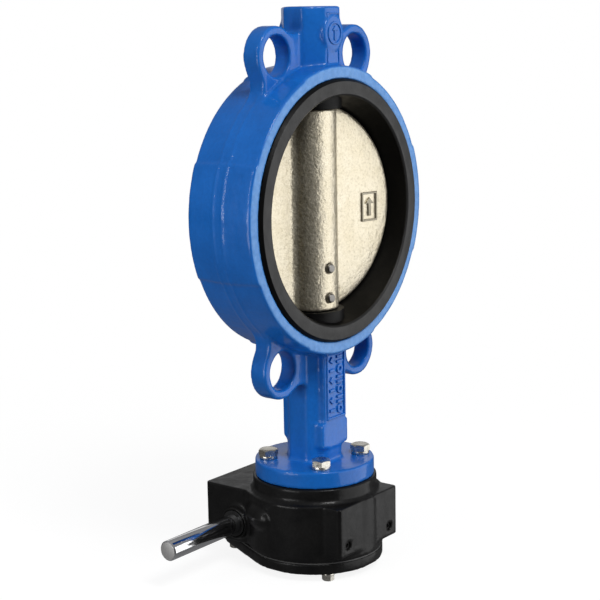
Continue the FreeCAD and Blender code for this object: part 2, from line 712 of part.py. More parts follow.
# ------------------------------------------------------------------ gearbox shells
def make_gearbox_housing():
    """Cast case: collar, round drum, worm block behind and stop block in front."""
    body = new_body("gearbox_housing")
    sketch = sketch_on(body, "collar_sketch", "XY_Plane", "-dims.flange_face")
    add_circle(sketch, "dims.collar_radius")
    pad(body, "collar", sketch, "dims.case_top - dims.flange_face + 4", Reversed=True)
    sketch = sketch_on(body, "collar_foot_sketch", "XY_Plane", "dims.collar_foot - dims.case_top")
    add_circle(sketch, "dims.collar_radius + dims.collar_foot")
    pad(body, "collar_foot", sketch, "2 * dims.collar_foot", Reversed=True)
    sketch = sketch_on(body, "drum_sketch", "XY_Plane", "-dims.case_top")
    add_circle(sketch, "dims.drum_radius")
    pad(body, "drum", sketch, "dims.case_bottom - dims.case_top", Reversed=True)
    sketch = sketch_on(body, "block_sketch", "XY_Plane", "-dims.case_top")
    right = [
        ("dims.drum_radius * cos(dims.block_angle)", "dims.drum_radius * sin(dims.block_angle)"),
        ("dims.block_half", "dims.block_root"),
        ("dims.block_half", "dims.block_back - dims.block_corner"),
        ("dims.block_half - dims.block_corner", "dims.block_back"),
    ]
    mirrored_outline(sketch, right)
    pad(body, "worm_block", sketch, "dims.case_bottom - dims.case_top", Reversed=True)
    sketch = sketch_on(body, "stop_sketch", "XY_Plane", "-dims.case_top")
    mirrored_outline(sketch, [
        ("dims.stop_half", "0"),
        ("dims.stop_half", "dims.stop_corner - dims.stop_front"),
        ("dims.stop_half - dims.stop_corner", "-dims.stop_front"),
    ])
    pad(body, "stop_block", sketch, "dims.stop_bottom - dims.case_top", Reversed=True)
    sketch = sketch_on(body, "shaft_boss_sketch", "YZ_Plane", "-dims.block_half + 2")
    add_circle(sketch, "dims.shaft_boss", "dims.worm_across", "-dims.worm_level")
    pad(body, "shaft_boss", sketch, "dims.shaft_boss_end - dims.block_half + 2", Reversed=True)
    fairing = body.newObject("PartDesign::AdditiveEllipsoid", "worm_fairing")
    fairing.setExpression("Radius1", "dims.fairing_height")
    fairing.setExpression("Radius2", "dims.fairing_depth")
    fairing.setExpression("Radius3", "dims.fairing_length")
    reach = "(dims.drum_radius - dims.fairing_sink)"
    fairing.setExpression("Placement.Base.x", f"-{reach} * cos(dims.fairing_angle)")
    fairing.setExpression("Placement.Base.y", f"{reach} * sin(dims.fairing_angle)")
    fairing.setExpression("Placement.Base.z", "-dims.fairing_level")
    fairing.setExpression("Placement.Rotation.Yaw", "-dims.fairing_angle")

    sketch = sketch_on(body, "cavity_sketch", "XY_Plane", "-dims.cavity_top")
    add_circle(sketch, "dims.cavity_radius")
    pocket(body, "cavity", sketch, "dims.case_bottom - dims.cavity_top + 1")
    sketch = sketch_on(body, "tunnel_sketch", "YZ_Plane", "dims.block_half + 1")
    add_circle(sketch, "dims.tunnel_radius + dims.fit_gap", "dims.worm_across",
               "-dims.worm_level")
    pocket(body, "tunnel", sketch, "dims.block_half + dims.tunnel_half + 1")
    sketch = sketch_on(body, "shaft_hole_sketch", "YZ_Plane", "0")
    add_circle(sketch, "dims.shaft_bush + dims.fit_gap", "dims.worm_across", "-dims.worm_level")
    pocket(body, "shaft_hole", sketch, "dims.shaft_boss_end + 1")
    sketch = sketch_on(body, "journal_sketch", "XY_Plane", "-dims.cavity_top - 1")
    add_circle(sketch, "dims.journal_radius + dims.fit_gap")
    pocket(body, "journal_seat", sketch, "dims.journal_rise + 1.3", Reversed=True)
    sketch = sketch_on(body, "case_stem_hole_sketch", "XY_Plane", "-dims.flange_face + 1")
    add_circle(sketch, "dims.stem_radius + 1")
    pocket(body, "case_stem_hole", sketch, "dims.cavity_top - dims.flange_face + 2")
    sketch = sketch_on(body, "flange_taps_sketch", "XY_Plane", "-dims.flange_face + 1")
    for side_x, side_y in FOUR_CORNERS:
        add_circle(sketch, "dims.flange_bolt + dims.fit_gap", side_x + "dims.flange_pitch",
                   side_y + "dims.flange_pitch")
    pocket(body, "flange_taps", sketch, "dims.flange_tap_depth")
    sketch = sketch_on(body, "cover_taps_sketch", "XY_Plane", "-dims.case_bottom - 1")
    for across, along in COVER_SCREWS:
        add_circle(sketch, "dims.cover_screw + dims.fit_gap", across, along)
    pocket(body, "cover_taps", sketch, "dims.cover_tap_depth + 1", Reversed=True)
    sketch = sketch_on(body, "stop_taps_sketch", "XZ_Plane", "dims.stop_front + 1")
    for side in ("1 * ", "-1 * "):
        add_circle(sketch, "dims.stop_screw + dims.fit_gap", side + "dims.stop_hole",
                   "-dims.stop_level")
    pocket(body, "stop_taps", sketch, "dims.stop_front - 8")
    return body


def make_cover(name, low, high, inset="0"):
    """Egg-shaped plate under the case: round below the drum, narrowing below the worm block."""
    body = new_body(name)
    thickness = f"({high}) - ({low})"
    radius = f"(dims.cover_radius - {inset})"
    end_radius = f"(dims.cover_end_radius - {inset})"
    sketch = sketch_on(body, f"{name}_round_sketch", "XY_Plane", high)
    add_circle(sketch, radius)
    pad(body, f"{name}_round", sketch, thickness, Reversed=True)
    sketch = sketch_on(body, f"{name}_tail_sketch", "XY_Plane", high)
    right = [
        (f"{radius} * cos(dims.cover_taper)", f"{radius} * sin(dims.cover_taper)"),
        (f"dims.cover_end_across + {end_radius} * cos(dims.cover_taper)",
         f"dims.cover_end_along + {end_radius} * sin(dims.cover_taper)"),
        (f"dims.cover_end_across + {end_radius} * 0.4", f"dims.cover_end_along + {end_radius}"),
    ]
    mirrored_outline(sketch, right)
    pad(body, f"{name}_tail", sketch, thickness, Reversed=True)
    sketch = sketch_on(body, f"{name}_holes_sketch", "XY_Plane", f"({high}) + 1")
    for across, along in COVER_SCREWS:
        add_circle(sketch, "dims.cover_screw + dims.move_gap", across, along)
    pocket(body, f"{name}_holes", sketch, f"{thickness} + 2")
    return body


def make_gearbox_cover():
    low = "-dims.cover_bottom"
    high = "-dims.case_bottom - dims.gasket_thick"
    body = make_cover("gearbox_cover", low, high)
    sketch = sketch_on(body, "cover_journal_sketch", "XY_Plane", f"({high}) + 1")
    add_circle(sketch, "dims.journal_radius + dims.fit_gap")
    pocket(body, "cover_journal", sketch, "20")
    return body


def make_cover_gasket():
    low = "-dims.case_bottom - dims.gasket_thick"
    body = make_cover("cover_gasket", low, "-dims.case_bottom", "0.3")
    sketch = sketch_on(body, "gasket_window_sketch", "XY_Plane", "1 - dims.case_bottom")
    add_circle(sketch, "dims.cavity_radius")
    pocket(body, "gasket_window", sketch, "10")
    return body


# ------------------------------------------------------------------ fasteners and seals
def make_flange_bolts():
    bolts = []
    washers = []
    low = "-dims.flange_top + dims.spring_washer"
    for number, (side_x, side_y) in enumerate(FOUR_CORNERS):
        across = side_x + "dims.flange_pitch"
        along = side_y + "dims.flange_pitch"
        head = hexagon(f"flange_bolt_head_{number}", "dims.flange_hex", "dims.flange_head",
                       (across, along, low), spin=20.0 * number)
        shank = cylinder(f"flange_bolt_shank_{number}", "dims.flange_bolt", "dims.flange_shank",
                         (across, along, f"{low} - dims.flange_shank"))
        bolts.append(fuse(f"flange_bolt_{number}", [head, shank]))
        seat = (across, along, "-dims.flange_top")
        outside = cylinder(f"flange_washer_outside_{number}", "dims.spring_radius",
                           "dims.spring_washer", seat)
        inside = cylinder(f"flange_washer_inside_{number}", "dims.flange_bolt + dims.fit_gap",
                          "dims.spring_washer", seat)
        washer = cut(f"flange_washer_{number}", outside, inside)
        gap = box(f"flange_washer_gap_{number}",
                  ("dims.spring_radius", "dims.spring_split", "dims.spring_washer"),
                  (f"{across} + dims.flange_bolt / 2", f"{along} - dims.spring_split / 2",
                   "-dims.flange_top"))
        washers.append(cut(f"flange_split_washer_{number}", washer, gap))
    group("flange_bolts", bolts)
    group("flange_spring_washers", washers)


def make_cover_screws():
    screws = []
    washers = []
    seat = "-dims.cover_bottom - dims.cover_washer"
    for number, (across, along) in enumerate(COVER_SCREWS):
        under = (across, along, seat)
        head = hexagon(f"cover_screw_head_{number}", "dims.cover_hex", "dims.cover_head",
                       (across, along, f"{seat} - dims.cover_head"), spin=25.0 * number)
        shank = cylinder(f"cover_screw_shank_{number}", "dims.cover_screw", "dims.cover_shank", under)
        screws.append(fuse(f"cover_screw_{number}", [head, shank]))
        outside = cylinder(f"cover_washer_outside_{number}", "dims.cover_washer_radius",
                           "dims.cover_washer", under)
        inside = cylinder(f"cover_washer_inside_{number}", "dims.cover_screw + dims.fit_gap",
                          "dims.cover_washer", under)
        washers.append(cut(f"cover_washer_{number}", outside, inside))
    group("cover_screws", screws)
    group("cover_washers", washers)


def make_stop_screws():
    """Two set screws whose inner ends stop the wheel sector at each end of its turn."""
    screws = []
    contact = "(dims.stop_hole + dims.stop_screw) * tan(dims.sector_half - 45)"
    tip = f"-({contact}) - dims.move_gap - 0.1"
    for word, side in (("open", "1 * "), ("shut", "-1 * ")):
        across = side + "dims.stop_hole"
        back = "2 - dims.stop_front"
        shank = cylinder(f"{word}_screw_shank", "dims.stop_screw", f"({tip}) - ({back})",
                         (across, back, "-dims.stop_level"), Vector(0, 1, 0))
        socket = hexagon(f"{word}_screw_socket", "dims.stop_socket", "dims.stop_socket",
                         (across, back, "-dims.stop_level"), Vector(0, 1, 0))
        screws.append(cut(f"{word}_stop_screw", shank, socket))
    group("stop_screws", screws)


# ------------------------------------------------------------------ gearing
WHEEL_PITCH = dims.module * dims.wheel_teeth / 2
WHEEL_TIP = WHEEL_PITCH + dims.module
WHEEL_ROOT = WHEEL_PITCH - 1.2 * dims.module
TOOTH_STEP = 360.0 / dims.wheel_teeth
WORM_PITCH = dims.worm_across - WHEEL_PITCH
WORM_TIP = WORM_PITCH + dims.module
WORM_ROOT = WORM_PITCH - 1.2 * dims.module


def involute(angle):
    return math.tan(angle) - angle


def half_gap(radius):
    """Half the angle of the gap between two wheel teeth at a radius, in radians."""
    pressure = math.radians(dims.pressure_angle)
    base = WHEEL_PITCH * math.cos(pressure)
    here = math.acos(min(1.0, base / radius))
    half_tooth = math.pi / 2 / dims.wheel_teeth + involute(pressure) - involute(here)
    half_tooth -= dims.backlash / 2 / WHEEL_PITCH
    return math.pi / dims.wheel_teeth - half_tooth


def gap_wire(middle, level):
    """Outline of one tooth gap about the direction middle (degrees), at a height."""
    radii = [WHEEL_ROOT - 0.1, WHEEL_PITCH - 1.2, WHEEL_PITCH + 0.5, WHEEL_TIP + 0.5]
    right = [(radius, -half_gap(radius)) for radius in radii]
    left = [(radius, half_gap(radius)) for radius in reversed(radii)]
    points = []
    for radius, offset in right + left:
        angle = math.radians(middle) + offset
        points.append(Vector(radius * math.cos(angle), radius * math.sin(angle), level))
    return Part.makePolygon(points + points[:1])


def make_wheel_sector():
    """Worm wheel cut down to the sector that a quarter turn needs, with skewed teeth."""
    level = -dims.worm_level
    half = dims.wheel_half
    start = 135 - dims.sector_half
    blank = Part.makeCylinder(WHEEL_TIP, 2 * half, Vector(0, 0, level - half),
                              Vector(0, 0, 1), 2 * dims.sector_half)
    blank.rotate(Vector(), Vector(0, 0, 1), start)
    hub_low = -dims.cover_bottom
    hub_parts = [
        Part.makeCylinder(dims.wheel_hub, 2 * dims.wheel_hub_half,
                          Vector(0, 0, level - dims.wheel_hub_half)),
        Part.makeCylinder(dims.journal_radius, dims.cover_bottom - dims.cavity_top + dims.journal_rise,
                          Vector(0, 0, hub_low)),
    ]
    room = Part.makeCylinder(dims.cavity_radius,
                             dims.case_bottom - dims.cavity_top - 2 * dims.move_gap,
                             Vector(0, 0, dims.move_gap - dims.case_bottom))
    hub_parts[0] = hub_parts[0].common(room)
    solid = blank.fuse(hub_parts)
    skew = math.degrees(half * math.tan(math.atan2(dims.module / 2, WORM_PITCH)) / WHEEL_PITCH)
    first = 90 + dims.rest_opening
    for number in range(-3, 10):
        middle = first + number * TOOTH_STEP
        if start - TOOTH_STEP / 2 < middle < start + 2 * dims.sector_half + TOOTH_STEP / 2:
            wires = [gap_wire(middle - skew, level - half), gap_wire(middle + skew, level + half)]
            solid = solid.cut(Part.makeLoft(wires, True, True))
    length = 2 * dims.cavity_radius
    bore = Part.makeCylinder(dims.stem_radius + dims.fit_gap, length,
                             Vector(0, 0, level - length / 2))
    slot_depth = dims.key_side - dims.keyway_depth + 0.1
    keyway = Part.makeBox(dims.key_side, dims.key_side, length,
                          Vector(-dims.key_side / 2, -dims.stem_radius - slot_depth,
                                 level - length / 2))
    solid = solid.cut(bore).cut(keyway)
    for side in (1, -1):
        tap = Part.makeCylinder(dims.indicator_screw + dims.fit_gap, dims.indicator_shank,
                                Vector(dims.indicator_pitch * side, 0, hub_low))
        solid = solid.cut(tap)
    wheel = doc.addObject("Part::Feature", "wheel_sector")
    wheel.Shape = solid
    wheel.Placement = shut_to_rest
    return wheel


def worm_axis_placement():
    """Own Z to global X, own X towards the wheel."""
    axes = Rotation(Vector(0, -1, 0), Vector(0, 0, -1), Vector(1, 0, 0), "ZXY")
    return Placement(Vector(0, dims.worm_across, -dims.worm_level), axes)


def make_worm():
    """Single-start worm with a right-hand thread."""
    body = new_body("worm")
    sketch = sketch_on(body, "worm_core_sketch", "XZ_Plane")
    add_outline(sketch, [
        ("dims.shaft_journal + dims.fit_gap", "-dims.worm_half"),
        (WORM_ROOT, "-dims.worm_half"),
        (WORM_ROOT, "dims.worm_half"),
        ("dims.shaft_journal + dims.fit_gap", "dims.worm_half"),
    ])
    turn(body, "worm_core", sketch)
    sketch = sketch_on(body, "thread_sketch", "XZ_Plane")
    slope = math.tan(math.radians(dims.pressure_angle))
    pitch_half = dims.worm_lead / 4 - dims.backlash / 4
    tip_half = pitch_half - dims.module * slope
    root_half = pitch_half + 1.3 * dims.module * slope
    base = -2 * dims.worm_lead
    inner = WORM_PITCH - 1.3 * dims.module
    add_outline(sketch, [
        (inner, base - root_half), (WORM_TIP, base - tip_half),
        (WORM_TIP, base + tip_half), (inner, base + root_half),
    ])
    feature(body, "AdditiveHelix", "thread", sketch,
            {"Pitch": "dims.worm_lead", "Height": "dims.worm_turns * dims.worm_lead"},
            ReferenceAxis=(sketch, ["V_Axis"]), Mode=0)
    both(body, "worm_pin_hole", pocket, "XZ_Plane", add_circle,
         ("dims.worm_pin_radius + dims.fit_gap", "0", "-dims.worm_pin"), "40")
    body.Placement = worm_axis_placement()
    return body


def make_worm_pin():
    """Spring pin that drives the worm from its shaft."""
    pin = cylinder("worm_pin_solid", "dims.worm_pin_radius", 2 * WORM_ROOT - 0.6,
                   ("0", str(WORM_ROOT - 0.3), "-dims.worm_pin"), Vector(0, -1, 0))
    slot = cylinder("worm_pin_slot", "dims.worm_pin_radius - dims.worm_pin_wall", 2 * WORM_ROOT + 2,
                    ("0", str(WORM_ROOT + 1), "-dims.worm_pin"), Vector(0, -1, 0))
    pin = cut("worm_pin", pin, slot)
    pin.Placement = worm_axis_placement()
    return pin


def make_worm_shaft():
    body = new_body("worm_shaft")
    sketch = sketch_on(body, "shaft_sketch", "XZ_Plane")
    add_outline(sketch, [
        ("0", "-dims.shaft_end"),
        ("dims.shaft_radius - 1", "-dims.shaft_end"),
        ("dims.shaft_radius", "1 - dims.shaft_end"),
        ("dims.shaft_radius", "-dims.shaft_shoulder"),
        ("dims.shaft_journal", "-dims.shaft_shoulder"),
        ("dims.shaft_journal", "dims.shaft_inner - 1"),
        ("dims.shaft_journal - 1", "dims.shaft_inner"),
        ("0", "dims.shaft_inner"),
    ])
    turn(body, "bar", sketch)
    sketch = sketch_on(body, "wheel_spot_sketch", "YZ_Plane", "-dims.shaft_radius - 1")
    add_circle(sketch, "dims.wheel_spot", "0", "dims.wheel_spot_place - dims.shaft_end")
    pocket(body, "wheel_spot", sketch, "dims.wheel_spot + dims.hole_overshoot", Reversed=True)
    both(body, "shaft_pin_hole", pocket, "XZ_Plane", add_circle,
         ("dims.worm_pin_radius + dims.fit_gap", "0", "-dims.worm_pin"), "40")
    body.Placement = worm_axis_placement()
    return body


def make_worm_bearings():
    inner = "dims.shaft_journal + dims.fit_gap"
    cross_ring("worm_bush_outer", inner, "dims.shaft_bush", "-dims.shaft_bush_end",
               "-dims.tunnel_half")
    cross_ring("worm_bush_inner", inner, "dims.tunnel_radius", "dims.tunnel_half",
               "dims.inner_bearing_end")
    cross_ring("shaft_seal", inner, "dims.shaft_bush", "-dims.shaft_seal_end",
               "-dims.shaft_bush_end - dims.move_gap")
    washers = [
        cross_ring("worm_washer_0", inner, "dims.thrust_radius", "dims.fit_gap - dims.tunnel_half",
                   "-dims.worm_half - dims.move_gap"),
        cross_ring("worm_washer_1", inner, "dims.thrust_radius", "dims.worm_half + dims.move_gap",
                   "dims.tunnel_half - dims.fit_gap"),
    ]
    group("worm_thrust_washers", washers)
    start = "dims.inner_bearing_end + dims.move_gap"
    end = "dims.block_half - dims.plug_inset"
    plug = cylinder("plug_blank", "dims.tunnel_radius", f"({end}) - ({start})",
                    (start, "dims.worm_across", "-dims.worm_level"), Vector(1, 0, 0))
    socket = hexagon("plug_socket", "dims.plug_hex", "dims.plug_socket + dims.hole_overshoot",
                     (f"{end} - dims.plug_socket", "dims.worm_across", "-dims.worm_level"),
                     Vector(1, 0, 0))
    cut("worm_end_plug", plug, socket)


def make_indicator():
    """Pointer plate on the wheel's lower end, and its two screws."""
    top = "-dims.cover_bottom - dims.move_gap"
    low = f"{top} - dims.indicator_thick"
    plate = cylinder("indicator_plate", "dims.indicator_radius", "dims.indicator_thick",
                     ("0", "0", low))
    arrow = box("indicator_arrow",
                ("dims.indicator_arrow", "dims.indicator_reach", "dims.indicator_thick"),
                ("-dims.indicator_arrow / 2", "0", low))
    solid = fuse("indicator_blank", [plate, arrow])
    holes = []
    screws = []
    for number, side in enumerate(("1 * ", "-1 * ")):
        across = side + "dims.indicator_pitch"
        holes.append(cylinder(f"indicator_hole_{number}", "dims.indicator_screw + 2 * dims.fit_gap",
                              "dims.indicator_thick + 2 * dims.hole_overshoot",
                              (across, "0", f"{low} - dims.hole_overshoot")))
        head = cylinder(f"indicator_head_{number}", "dims.indicator_head",
                        "dims.indicator_head_height",
                        (across, "0", f"{low} - dims.indicator_head_height"))
        shank = cylinder(f"indicator_shank_{number}", "dims.indicator_screw",
                         "dims.indicator_shank", (across, "0", low))
        screws.append(fuse(f"indicator_screw_{number}", [head, shank]))
    item = cut("position_indicator", solid, fuse("indicator_holes", holes))
    item.Placement = shut_to_rest
    screws = group("indicator_screws", screws)
    screws.Placement = shut_to_rest


# ------------------------------------------------------------------ assembly
make_valve_body()
make_seat_liner()
make_disc()
make_disc_pins()
make_stem()
make_stem_key()
make_stem_bushes()
make_gearbox_housing()
make_gearbox_cover()
make_cover_gasket()
make_flange_bolts()
make_cover_screws()
make_stop_screws()
make_wheel_sector()
make_worm()
make_worm_pin()
make_worm_shaft()
make_worm_bearings()
make_indicator()

NODES = [
    "valve_body", "seat_liner", "disc", "disc_pins", "stem", "stem_key", "boss_bush",
    "neck_bush_inner", "neck_bush_outer", "stem_seals", "gearbox_housing", "gearbox_cover",
    "cover_gasket", "flange_bolts", "flange_spring_washers", "cover_screws", "cover_washers",
    "stop_screws", "wheel_sector", "worm", "worm_pin", "worm_shaft", "worm_bush_outer",
    "worm_bush_inner", "shaft_seal", "worm_thrust_washers", "worm_end_plug",
    "position_indicator", "indicator_screws",
]

doc.recompute()
for item in doc.Objects:
    if "Invalid" in item.State or "Error" in item.State:
        raise RuntimeError(f"{item.Label} failed: {item.State}")
for name in NODES:
    shape = doc.getObject(name).Shape
    if shape.isNull() or not shape.isValid():
        raise RuntimeError(f"{name} has no valid shape")
    shape.exportStep(f"parts/{name}.step")
    print(name, len(shape.Solids), round(shape.Volume))
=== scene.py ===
"""Looks of the wafer butterfly valve with its worm gear operator.

Castings are remeshed from their CAD solids, machined pieces get broken edges, and cast marks are
added as low relief. Lengths are in metres; MM turns millimetres into them.
"""
import json
import math

import bmesh
import bpy
import numpy as np
from mathutils import Matrix, Vector


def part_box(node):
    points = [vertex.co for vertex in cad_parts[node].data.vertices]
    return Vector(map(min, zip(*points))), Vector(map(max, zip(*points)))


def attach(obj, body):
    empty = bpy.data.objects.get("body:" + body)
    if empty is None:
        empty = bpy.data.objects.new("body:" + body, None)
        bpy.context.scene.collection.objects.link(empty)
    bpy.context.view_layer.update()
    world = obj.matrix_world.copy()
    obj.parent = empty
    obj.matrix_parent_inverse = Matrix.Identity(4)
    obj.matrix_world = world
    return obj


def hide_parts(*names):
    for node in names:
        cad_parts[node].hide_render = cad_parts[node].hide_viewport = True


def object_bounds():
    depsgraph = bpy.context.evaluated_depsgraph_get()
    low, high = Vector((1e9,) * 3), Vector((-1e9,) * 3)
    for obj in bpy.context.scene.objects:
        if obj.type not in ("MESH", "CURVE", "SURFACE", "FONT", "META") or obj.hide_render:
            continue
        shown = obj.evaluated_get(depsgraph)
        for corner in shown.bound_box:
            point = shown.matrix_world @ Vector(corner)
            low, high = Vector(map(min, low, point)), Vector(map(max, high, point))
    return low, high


MM = 0.001

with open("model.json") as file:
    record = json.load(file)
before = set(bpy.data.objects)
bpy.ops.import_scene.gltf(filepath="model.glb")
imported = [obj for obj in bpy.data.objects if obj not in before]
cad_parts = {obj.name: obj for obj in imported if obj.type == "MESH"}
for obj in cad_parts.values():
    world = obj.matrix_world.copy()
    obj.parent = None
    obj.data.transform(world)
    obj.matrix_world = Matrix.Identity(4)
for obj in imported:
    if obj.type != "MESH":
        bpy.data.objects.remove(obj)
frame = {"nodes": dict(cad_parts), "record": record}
cad_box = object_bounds()
nodes = frame["nodes"]
behaviour = frame["record"]["behaviour"]
slot_of = {part["node"]: part["material_slot"] for part in frame["record"]["subparts"]}
body_of = {node: body for body, members in behaviour["bodies"].items() for node in members}


# ------------------------------------------------------------------ places read from the frame
def hundredths(length):
    """A measured length to the nearest hundredth of a millimetre."""
    return round(length, 5)


def front_face(node, x, z):
    """How far in front of the middle plane the surface lies that is met from the front at x, z."""
    start = Vector((x, cad_box[0][1] - 1.0, z))
    graph = bpy.context.evaluated_depsgraph_get()
    place = nodes[node].ray_cast(start, Vector((0, 1, 0)), depsgraph=graph)[1]
    return hundredths(-place.y)


NECK_MARKS_LEVEL = -124 * MM
BOSS_MARKS_LEVEL = 127 * MM
BOSS_FRAME_LEVEL = 122.5 * MM
BOSS_EDGE_LEVEL = 105 * MM

body_low, body_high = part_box("valve_body")
liner_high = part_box("seat_liner")[1]
shaft_low, shaft_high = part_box("worm_shaft")
ring_radius = hundredths(body_high.x)
lip_radius = hundredths(liner_high.x)
lip_face = hundredths(liner_high.y)
ring_face = front_face("valve_body", 5 * MM - ring_radius, 0)
neck_face = front_face("valve_body", 0, NECK_MARKS_LEVEL)
pad_face = front_face("valve_body", 0, BOSS_MARKS_LEVEL)
boss_face = front_face("valve_body", 0, BOSS_EDGE_LEVEL)
shaft_y = (shaft_low.y + shaft_high.y) / 2
shaft_z = (shaft_low.z + shaft_high.z) / 2
disc_turn = math.radians(behaviour["joints"][0]["range_deg"][0])


# ------------------------------------------------------------------ mesh helpers
def link(name, mesh):
    item = bpy.data.objects.new(name, mesh)
    bpy.context.scene.collection.objects.link(item)
    return item


def to_mesh(bm, name):
    mesh = bpy.data.meshes.new(name)
    bm.to_mesh(mesh)
    bm.free()
    return mesh


def add_part(whole, part):
    """Adds one loose part to the whole and frees the part."""
    mesh = to_mesh(part, "part")
    whole.from_mesh(mesh)
    bpy.data.meshes.remove(mesh)


def shade(item, degrees):
    """Smooth shading with sharp edges kept where faces meet at more than the angle."""
    bm = bmesh.new()
    bm.from_mesh(item.data)
    limit = math.radians(degrees)
    for face in bm.faces:
        face.smooth = True
    for edge in bm.edges:
        edge.smooth = len(edge.link_faces) == 2 and edge.calc_face_angle(0.0) < limit
    bm.to_mesh(item.data)
    bm.free()
    return item


def welded(node):
    """Copy of a CAD node's mesh with its split corners joined."""
    bm = bmesh.new()
    bm.from_mesh(nodes[node].data)
    bmesh.ops.remove_doubles(bm, verts=bm.verts, dist=1e-6)
    return bm


def points_of(mesh):
    co = np.empty(len(mesh.vertices) * 3)
    mesh.vertices.foreach_get("co", co)
    return co.reshape(-1, 3)


def put_points(mesh, co):
    mesh.vertices.foreach_set("co", np.ascontiguousarray(co, dtype=np.float64).ravel())
    mesh.update()


def vertex_normals(mesh):
    normals = np.empty(len(mesh.vertices) * 3)
    mesh.vertex_normals.foreach_get("vector", normals)
    return normals.reshape(-1, 3)


# ------------------------------------------------------------------ castings
def fade(value, start, end):
    """Zero up to start, one from end on, straight between them."""
    return np.clip((value - start) / (end - start), 0, 1)


def waves(co, seed, height):
    """Smooth unevenness made of plane waves, the same for every run."""
    lengths = [0.005, 0.007, 0.009, 0.012, 0.017, 0.024, 0.033]
    rng = np.random.default_rng(seed)
    total = np.zeros(len(co))
    for length in lengths:
        way = rng.normal(size=3)
        way *= 2 * math.pi / (length * np.linalg.norm(way))
        total += np.sin(co @ way + rng.uniform(0, 6.283))
    return total * height / len(lengths)


def remeshed(node, name, voxel):
    """The CAD solid with an even skin of small faces."""
    item = link(name, to_mesh(welded(node), name))
    remesh = item.modifiers.new("cast", "REMESH")
    remesh.mode = "VOXEL"
    remesh.voxel_size = voxel
    graph = bpy.context.evaluated_depsgraph_get()
    fine = bpy.data.meshes.new_from_object(item.evaluated_get(graph))
    item.modifiers.clear()
    item.data = fine
    fine.name = name
    return item


def rounded(mesh, rounds, weight):
    """The mesh's points, moved towards their neighbours once a round, each by its own weight."""
    co = points_of(mesh)
    edges = np.empty(len(mesh.edges) * 2, dtype=np.int64)
    mesh.edges.foreach_get("vertices", edges)
    start, end = edges.reshape(-1, 2).T
    count = np.bincount(start, minlength=len(co)) + np.bincount(end, minlength=len(co))
    share = 0.5 * (weight(co) if weight else np.ones(len(co)))[:, None]
    for _ in range(rounds):
        total = np.zeros_like(co)
        for axis in range(3):
            total[:, axis] = (np.bincount(start, co[end, axis], len(co))
                              + np.bincount(end, co[start, axis], len(co)))
        co += share * (total / count[:, None] - co)
    return co


def cast(node, name, voxel, rounds, rough, seed, weight=None, clear_of=None, setback=0.0):
    """A cast shell: the CAD solid remeshed, its edges rounded and its skin made uneven.

    The skin round a moving piece, clear_of, is set back so that the rounding can't touch it.
    """
    item = remeshed(node, name, voxel)
    mesh = item.data
    co = rounded(mesh, rounds, weight)
    put_points(mesh, co)
    co = co + vertex_normals(mesh) * (waves(co, seed, rough) - rough / 2)[:, None]
    if clear_of:
        low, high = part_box(clear_of)
        near = np.all((co > np.array(low) - MM) & (co < np.array(high) + MM), axis=1)
        put_points(mesh, co)
        co = co - vertex_normals(mesh) * (setback * near)[:, None]
    low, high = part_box(node)
    put_points(mesh, np.clip(co, np.array(low), np.array(high)))
    mesh.polygons.foreach_set("use_smooth", [True] * len(mesh.polygons))
    return item


# ------------------------------------------------------------------ machined pieces and screws
def machined(node, name, width, segments=2):
    """A machined piece: the CAD solid with its sharp edges broken."""
    nearly_flat = math.radians(0.6)
    sharp_from = math.radians(30)
    bm = welded(node)
    bmesh.ops.dissolve_limit(bm, angle_limit=nearly_flat, verts=bm.verts, edges=bm.edges)
    sharp = [edge for edge in bm.edges
             if len(edge.link_faces) == 2 and edge.calc_face_angle(0.0) > sharp_from]
    bmesh.ops.bevel(bm, geom=sharp, offset=width, segments=segments, profile=0.5,
                    affect="EDGES", clamp_overlap=True)
    return shade(link(name, to_mesh(bm, name)), 40.0)


def islands(node):
    """Corner points of each loose solid of a CAD node, walked in the mesh's own order."""
    bm = welded(node)
    seen = set()
    found = []
    for first in bm.verts:
        if first in seen:
            continue
        seen.add(first)
        stack = [first]
        group = []
        while stack:
            vert = stack.pop()
            group.append(tuple(vert.co))
            for edge in vert.link_edges:
                other = edge.other_vert(vert)
                if other not in seen:
                    seen.add(other)
                    stack.append(other)
        found.append(np.array(group))
    bm.free()
    return sorted(found, key=lambda co: (round(co[:, 0].mean(), 4), round(co[:, 1].mean(), 4)))


def lathe(bm, rows, count, start):
    """Rings of points joined by faces; a row is (radius, level), or gives them for each step."""
    rings = []
    for row in rows:
        ring = []
        for step in range(count):
            angle = start + 2 * math.pi * step / count
            radius, level = row(step) if callable(row) else row
            ring.append(bm.verts.new((radius * math.cos(angle), radius * math.sin(angle), level)))
        rings.append(ring)
    for low, high in zip(rings, rings[1:]):
        for step in range(count):
            after = (step + 1) % count
            bm.faces.new((low[step], low[after], high[after], high[step]))
    return rings


